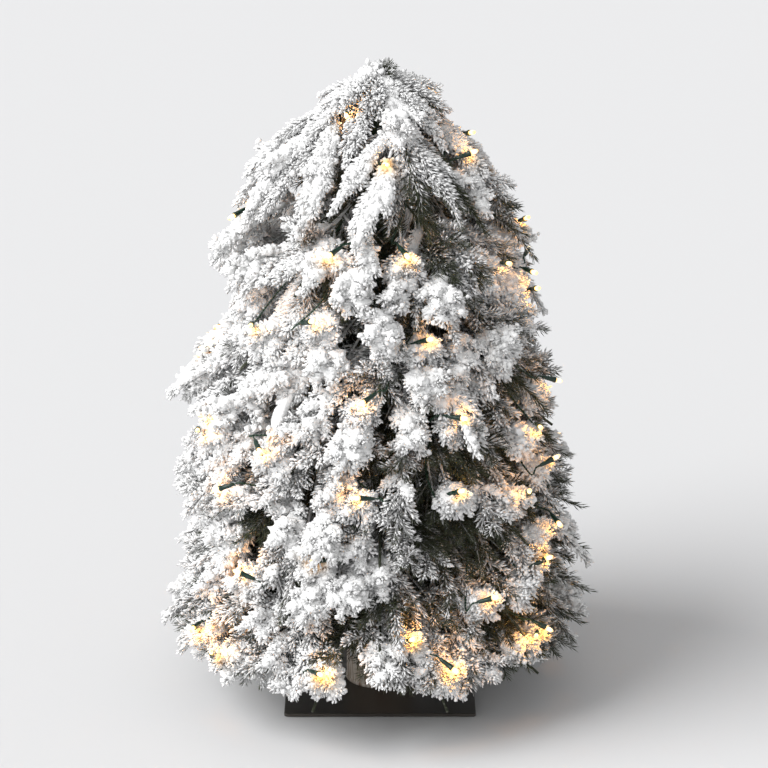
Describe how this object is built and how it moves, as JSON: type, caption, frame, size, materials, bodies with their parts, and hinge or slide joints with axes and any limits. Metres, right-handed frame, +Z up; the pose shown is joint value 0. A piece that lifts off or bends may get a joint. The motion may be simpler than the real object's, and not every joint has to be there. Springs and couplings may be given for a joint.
{
  "type": "artificial tabletop tree",
  "caption": "Flocked artificial tabletop tree with warm-white lights; boughs in tiers hinge on a steel pole, and it stands on a square steel plate.",
  "frame": {"origin": "centre of the felt pad's underside, on the surface the tree stands on", "axes": "+Z up along the pole; the base plate's edges run along X and Y; -Y is the front"},
  "size_m": [0.6088, 0.6088, 0.903],
  "materials": {
    "flocked_foliage": "matte",
    "dark_steel": "satin",
    "washed_wood": "matte",
    "black_felt": "matte",
    "zinc_steel": "satin",
    "green_paint": "satin",
    "green_wire": "satin",
    "lamp_husk": "satin",
    "lamp_bulb": "gloss"
  },
  "bodies": {
    "stand": {"base_pad": "black_felt", "base_plate": "dark_steel", "base_screw": "zinc_steel", "pole_plug": "zinc_steel", "centre_pole": "green_paint", "pole_cap": "green_paint", "trunk_log": "washed_wood", "tier_1_collar": "green_paint", "tier_2_collar": "green_paint", "tier_3_collar": "green_paint", "tier_4_collar": "green_paint", "tier_5_collar": "green_paint", "tier_6_collar": "green_paint", "tier_7_collar": "green_paint", "light_wire": "green_wire", "top_leader": "flocked_foliage"},
    "bough_1_1": {"tier_1_bough_1": "flocked_foliage"},
    "bough_1_2": {"tier_1_bough_2": "flocked_foliage"},
    "bough_1_3": {"tier_1_bough_3": "flocked_foliage"},
    "bough_1_4": {"tier_1_bough_4": "flocked_foliage"},
    "bough_1_5": {"tier_1_bough_5": "flocked_foliage"},
    "bough_1_6": {"tier_1_bough_6": "flocked_foliage"},
    "bough_1_7": {"tier_1_bough_7": "flocked_foliage"},
    "bough_1_8": {"tier_1_bough_8": "flocked_foliage"},
    "bough_2_1": {"tier_2_bough_1": "flocked_foliage"},
    "bough_2_2": {"tier_2_bough_2": "flocked_foliage"},
    "bough_2_3": {"tier_2_bough_3": "flocked_foliage"},
    "bough_2_4": {"tier_2_bough_4": "flocked_foliage"},
    "bough_2_5": {"tier_2_bough_5": "flocked_foliage"},
    "bough_2_6": {"tier_2_bough_6": "flocked_foliage"},
    "bough_2_7": {"tier_2_bough_7": "flocked_foliage"},
    "bough_2_8": {"tier_2_bough_8": "flocked_foliage"},
    "bough_3_1": {"tier_3_bough_1": "flocked_foliage"},
    "bough_3_2": {"tier_3_bough_2": "flocked_foliage"},
    "bough_3_3": {"tier_3_bough_3": "flocked_foliage"},
    "bough_3_4": {"tier_3_bough_4": "flocked_foliage"},
    "bough_3_5": {"tier_3_bough_5": "flocked_foliage"},
    "bough_3_6": {"tier_3_bough_6": "flocked_foliage"},
    "bough_3_7": {"tier_3_bough_7": "flocked_foliage"},
    "bough_4_1": {"tier_4_bough_1": "flocked_foliage"},
    "bough_4_2": {"tier_4_bough_2": "flocked_foliage"},
    "bough_4_3": {"tier_4_bough_3": "flocked_foliage"},
    "bough_4_4": {"tier_4_bough_4": "flocked_foliage"},
    "bough_4_5": {"tier_4_bough_5": "flocked_foliage"},
    "bough_4_6": {"tier_4_bough_6": "flocked_foliage"},
    "bough_5_1": {"tier_5_bough_1": "flocked_foliage"},
    "bough_5_2": {"tier_5_bough_2": "flocked_foliage"},
    "bough_5_3": {"tier_5_bough_3": "flocked_foliage"},
    "bough_5_4": {"tier_5_bough_4": "flocked_foliage"},
    "bough_5_5": {"tier_5_bough_5": "flocked_foliage"},
    "bough_5_6": {"tier_5_bough_6": "flocked_foliage"},
    "bough_6_1": {"tier_6_bough_1": "flocked_foliage"},
    "bough_6_2": {"tier_6_bough_2": "flocked_foliage"},
    "bough_6_3": {"tier_6_bough_3": "flocked_foliage"},
    "bough_6_4": {"tier_6_bough_4": "flocked_foliage"},
    "bough_6_5": {"tier_6_bough_5": "flocked_foliage"},
    "bough_7_1": {"tier_7_bough_1": "flocked_foliage"},
    "bough_7_2": {"tier_7_bough_2": "flocked_foliage"},
    "bough_7_3": {"tier_7_bough_3": "flocked_foliage"},
    "bough_7_4": {"tier_7_bough_4": "flocked_foliage"}
  },
  "joints": [
    {"name": "fold_1_1", "type": "hinge", "parent": "stand", "child": "bough_1_1", "pos_m": [0.01598, 0.00662, 0.176], "axis": [0.3827, -0.9239, 0], "range_deg": [0, 70]},
    {"name": "fold_1_2", "type": "hinge", "parent": "stand", "child": "bough_1_2", "pos_m": [0.00662, 0.01598, 0.176], "axis": [0.9239, -0.3827, 0], "range_deg": [0, 70]},
    {"name": "fold_1_3", "type": "hinge", "parent": "stand", "child": "bough_1_3", "pos_m": [-0.00662, 0.01598, 0.176], "axis": [0.9239, 0.3827, 0], "range_deg": [0, 70]},
    {"name": "fold_1_4", "type": "hinge", "parent": "stand", "child": "bough_1_4", "pos_m": [-0.01598, 0.00662, 0.176], "axis": [0.3827, 0.9239, 0], "range_deg": [0, 70]},
    {"name": "fold_1_5", "type": "hinge", "parent": "stand", "child": "bough_1_5", "pos_m": [-0.01598, -0.00662, 0.176], "axis": [-0.3827, 0.9239, 0], "range_deg": [0, 70]},
    {"name": "fold_1_6", "type": "hinge", "parent": "stand", "child": "bough_1_6", "pos_m": [-0.00662, -0.01598, 0.176], "axis": [-0.9239, 0.3827, 0], "range_deg": [0, 70]},
    {"name": "fold_1_7", "type": "hinge", "parent": "stand", "child": "bough_1_7", "pos_m": [0.00662, -0.01598, 0.176], "axis": [-0.9239, -0.3827, 0], "range_deg": [0, 70]},
    {"name": "fold_1_8", "type": "hinge", "parent": "stand", "child": "bough_1_8", "pos_m": [0.01598, -0.00662, 0.176], "axis": [-0.3827, -0.9239, 0], "range_deg": [0, 70]},
    {"name": "fold_2_1", "type": "hinge", "parent": "stand", "child": "bough_2_1", "pos_m": [0.0173, 0, 0.288], "axis": [0, -1, 0], "range_deg": [0, 70]},
    {"name": "fold_2_2", "type": "hinge", "parent": "stand", "child": "bough_2_2", "pos_m": [0.01223, 0.01223, 0.288], "axis": [0.7071, -0.7071, 0], "range_deg": [0, 70]},
    {"name": "fold_2_3", "type": "hinge", "parent": "stand", "child": "bough_2_3", "pos_m": [0, 0.0173, 0.288], "axis": [1, 0, 0], "range_deg": [0, 70]},
    {"name": "fold_2_4", "type": "hinge", "parent": "stand", "child": "bough_2_4", "pos_m": [-0.01223, 0.01223, 0.288], "axis": [0.7071, 0.7071, 0], "range_deg": [0, 70]},
    {"name": "fold_2_5", "type": "hinge", "parent": "stand", "child": "bough_2_5", "pos_m": [-0.0173, 0, 0.288], "axis": [0, 1, 0], "range_deg": [0, 70]},
    {"name": "fold_2_6", "type": "hinge", "parent": "stand", "child": "bough_2_6", "pos_m": [-0.01223, -0.01223, 0.288], "axis": [-0.7071, 0.7071, 0], "range_deg": [0, 70]},
    {"name": "fold_2_7", "type": "hinge", "parent": "stand", "child": "bough_2_7", "pos_m": [0, -0.0173, 0.288], "axis": [-1, 0, 0], "range_deg": [0, 70]},
    {"name": "fold_2_8", "type": "hinge", "parent": "stand", "child": "bough_2_8", "pos_m": [0.01223, -0.01223, 0.288], "axis": [-0.7071, -0.7071, 0], "range_deg": [0, 70]},
    {"name": "fold_3_1", "type": "hinge", "parent": "stand", "child": "bough_3_1", "pos_m": [0, -0.0173, 0.4], "axis": [-1, 0, 0], "range_deg": [0, 70]},
    {"name": "fold_3_2", "type": "hinge", "parent": "stand", "child": "bough_3_2", "pos_m": [0.01353, -0.01079, 0.4], "axis": [-0.6235, -0.7818, 0], "range_deg": [0, 70]},
    {"name": "fold_3_3", "type": "hinge", "parent": "stand", "child": "bough_3_3", "pos_m": [0.01687, 0.00385, 0.4], "axis": [0.2225, -0.9749, 0], "range_deg": [0, 70]},
    {"name": "fold_3_4", "type": "hinge", "parent": "stand", "child": "bough_3_4", "pos_m": [0.00751, 0.01559, 0.4], "axis": [0.901, -0.4339, 0], "range_deg": [0, 70]},
    {"name": "fold_3_5", "type": "hinge", "parent": "stand", "child": "bough_3_5", "pos_m": [-0.00751, 0.01559, 0.4], "axis": [0.901, 0.4339, 0], "range_deg": [0, 70]},
    {"name": "fold_3_6", "type": "hinge", "parent": "stand", "child": "bough_3_6", "pos_m": [-0.01687, 0.00385, 0.4], "axis": [0.2225, 0.9749, 0], "range_deg": [0, 70]},
    {"name": "fold_3_7", "type": "hinge", "parent": "stand", "child": "bough_3_7", "pos_m": [-0.01353, -0.01079, 0.4], "axis": [-0.6235, 0.7818, 0], "range_deg": [0, 70]},
    {"name": "fold_4_1", "type": "hinge", "parent": "stand", "child": "bough_4_1", "pos_m": [0.00865, -0.01498, 0.512], "axis": [-0.866, -0.5, 0], "range_deg": [0, 70]},
    {"name": "fold_4_2", "type": "hinge", "parent": "stand", "child": "bough_4_2", "pos_m": [0.0173, 0, 0.512], "axis": [0, -1, 0], "range_deg": [0, 70]},
    {"name": "fold_4_3", "type": "hinge", "parent": "stand", "child": "bough_4_3", "pos_m": [0.00865, 0.01498, 0.512], "axis": [0.866, -0.5, 0], "range_deg": [0, 70]},
    {"name": "fold_4_4", "type": "hinge", "parent": "stand", "child": "bough_4_4", "pos_m": [-0.00865, 0.01498, 0.512], "axis": [0.866, 0.5, 0], "range_deg": [0, 70]},
    {"name": "fold_4_5", "type": "hinge", "parent": "stand", "child": "bough_4_5", "pos_m": [-0.0173, 0, 0.512], "axis": [0, 1, 0], "range_deg": [0, 70]},
    {"name": "fold_4_6", "type": "hinge", "parent": "stand", "child": "bough_4_6", "pos_m": [-0.00865, -0.01498, 0.512], "axis": [-0.866, 0.5, 0], "range_deg": [0, 70]},
    {"name": "fold_5_1", "type": "hinge", "parent": "stand", "child": "bough_5_1", "pos_m": [0, -0.0173, 0.624], "axis": [-1, 0, 0], "range_deg": [0, 70]},
    {"name": "fold_5_2", "type": "hinge", "parent": "stand", "child": "bough_5_2", "pos_m": [0.01498, -0.00865, 0.624], "axis": [-0.5, -0.866, 0], "range_deg": [0, 70]},
    {"name": "fold_5_3", "type": "hinge", "parent": "stand", "child": "bough_5_3", "pos_m": [0.01498, 0.00865, 0.624], "axis": [0.5, -0.866, 0], "range_deg": [0, 70]},
    {"name": "fold_5_4", "type": "hinge", "parent": "stand", "child": "bough_5_4", "pos_m": [0, 0.0173, 0.624], "axis": [1, 0, 0], "range_deg": [0, 70]},
    {"name": "fold_5_5", "type": "hinge", "parent": "stand", "child": "bough_5_5", "pos_m": [-0.01498, 0.00865, 0.624], "axis": [0.5, 0.866, 0], "range_deg": [0, 70]},
    {"name": "fold_5_6", "type": "hinge", "parent": "stand", "child": "bough_5_6", "pos_m": [-0.01498, -0.00865, 0.624], "axis": [-0.5, 0.866, 0], "range_deg": [0, 70]},
    {"name": "fold_6_1", "type": "hinge", "parent": "stand", "child": "bough_6_1", "pos_m": [0.01017, -0.014, 0.736], "axis": [-0.809, -0.5878, 0], "range_deg": [0, 70]},
    {"name": "fold_6_2", "type": "hinge", "parent": "stand", "child": "bough_6_2", "pos_m": [0.01645, 0.00535, 0.736], "axis": [0.309, -0.9511, 0], "range_deg": [0, 70]},
    {"name": "fold_6_3", "type": "hinge", "parent": "stand", "child": "bough_6_3", "pos_m": [0, 0.0173, 0.736], "axis": [1, 0, 0], "range_deg": [0, 70]},
    {"name": "fold_6_4", "type": "hinge", "parent": "stand", "child": "bough_6_4", "pos_m": [-0.01645, 0.00535, 0.736], "axis": [0.309, 0.9511, 0], "range_deg": [0, 70]},
    {"name": "fold_6_5", "type": "hinge", "parent": "stand", "child": "bough_6_5", "pos_m": [-0.01017, -0.014, 0.736], "axis": [-0.809, 0.5878, 0], "range_deg": [0, 70]},
    {"name": "fold_7_1", "type": "hinge", "parent": "stand", "child": "bough_7_1", "pos_m": [0.00592, -0.01626, 0.842], "axis": [-0.9397, -0.342, 0], "range_deg": [0, 70]},
    {"name": "fold_7_2", "type": "hinge", "parent": "stand", "child": "bough_7_2", "pos_m": [0.01626, 0.00592, 0.842], "axis": [0.342, -0.9397, 0], "range_deg": [0, 70]},
    {"name": "fold_7_3", "type": "hinge", "parent": "stand", "child": "bough_7_3", "pos_m": [-0.00592, 0.01626, 0.842], "axis": [0.9397, 0.342, 0], "range_deg": [0, 70]},
    {"name": "fold_7_4", "type": "hinge", "parent": "stand", "child": "bough_7_4", "pos_m": [-0.01626, -0.00592, 0.842], "axis": [-0.342, 0.9397, 0], "range_deg": [0, 70]}
  ],
  "couplings": [
    {"joint": "fold_1_2", "follows": "fold_1_1", "ratio": 1},
    {"joint": "fold_1_3", "follows": "fold_1_1", "ratio": 1},
    {"joint": "fold_1_4", "follows": "fold_1_1", "ratio": 1},
    {"joint": "fold_1_5", "follows": "fold_1_1", "ratio": 1},
    {"joint": "fold_1_6", "follows": "fold_1_1", "ratio": 1},
    {"joint": "fold_1_7", "follows": "fold_1_1", "ratio": 1},
    {"joint": "fold_1_8", "follows": "fold_1_1", "ratio": 1},
    {"joint": "fold_2_1", "follows": "fold_1_1", "ratio": 1},
    {"joint": "fold_2_2", "follows": "fold_1_1", "ratio": 1},
    {"joint": "fold_2_3", "follows": "fold_1_1", "ratio": 1},
    {"joint": "fold_2_4", "follows": "fold_1_1", "ratio": 1},
    {"joint": "fold_2_5", "follows": "fold_1_1", "ratio": 1},
    {"joint": "fold_2_6", "follows": "fold_1_1", "ratio": 1},
    {"joint": "fold_2_7", "follows": "fold_1_1", "ratio": 1},
    {"joint": "fold_2_8", "follows": "fold_1_1", "ratio": 1},
    {"joint": "fold_3_1", "follows": "fold_1_1", "ratio": 1},
    {"joint": "fold_3_2", "follows": "fold_1_1", "ratio": 1},
    {"joint": "fold_3_3", "follows": "fold_1_1", "ratio": 1},
    {"joint": "fold_3_4", "follows": "fold_1_1", "ratio": 1},
    {"joint": "fold_3_5", "follows": "fold_1_1", "ratio": 1},
    {"joint": "fold_3_6", "follows": "fold_1_1", "ratio": 1},
    {"joint": "fold_3_7", "follows": "fold_1_1", "ratio": 1},
    {"joint": "fold_4_1", "follows": "fold_1_1", "ratio": 1},
    {"joint": "fold_4_2", "follows": "fold_1_1", "ratio": 1},
    {"joint": "fold_4_3", "follows": "fold_1_1", "ratio": 1},
    {"joint": "fold_4_4", "follows": "fold_1_1", "ratio": 1},
    {"joint": "fold_4_5", "follows": "fold_1_1", "ratio": 1},
    {"joint": "fold_4_6", "follows": "fold_1_1", "ratio": 1},
    {"joint": "fold_5_1", "follows": "fold_1_1", "ratio": 1},
    {"joint": "fold_5_2", "follows": "fold_1_1", "ratio": 1},
    {"joint": "fold_5_3", "follows": "fold_1_1", "ratio": 1},
    {"joint": "fold_5_4", "follows": "fold_1_1", "ratio": 1},
    {"joint": "fold_5_5", "follows": "fold_1_1", "ratio": 1},
    {"joint": "fold_5_6", "follows": "fold_1_1", "ratio": 1},
    {"joint": "fold_6_1", "follows": "fold_1_1", "ratio": 1},
    {"joint": "fold_6_2", "follows": "fold_1_1", "ratio": 1},
    {"joint": "fold_6_3", "follows": "fold_1_1", "ratio": 1},
    {"joint": "fold_6_4", "follows": "fold_1_1", "ratio": 1},
    {"joint": "fold_6_5", "follows": "fold_1_1", "ratio": 1},
    {"joint": "fold_7_1", "follows": "fold_1_1", "ratio": 1},
    {"joint": "fold_7_2", "follows": "fold_1_1", "ratio": 1},
    {"joint": "fold_7_3", "follows": "fold_1_1", "ratio": 1},
    {"joint": "fold_7_4", "follows": "fold_1_1", "ratio": 1}
  ]
}
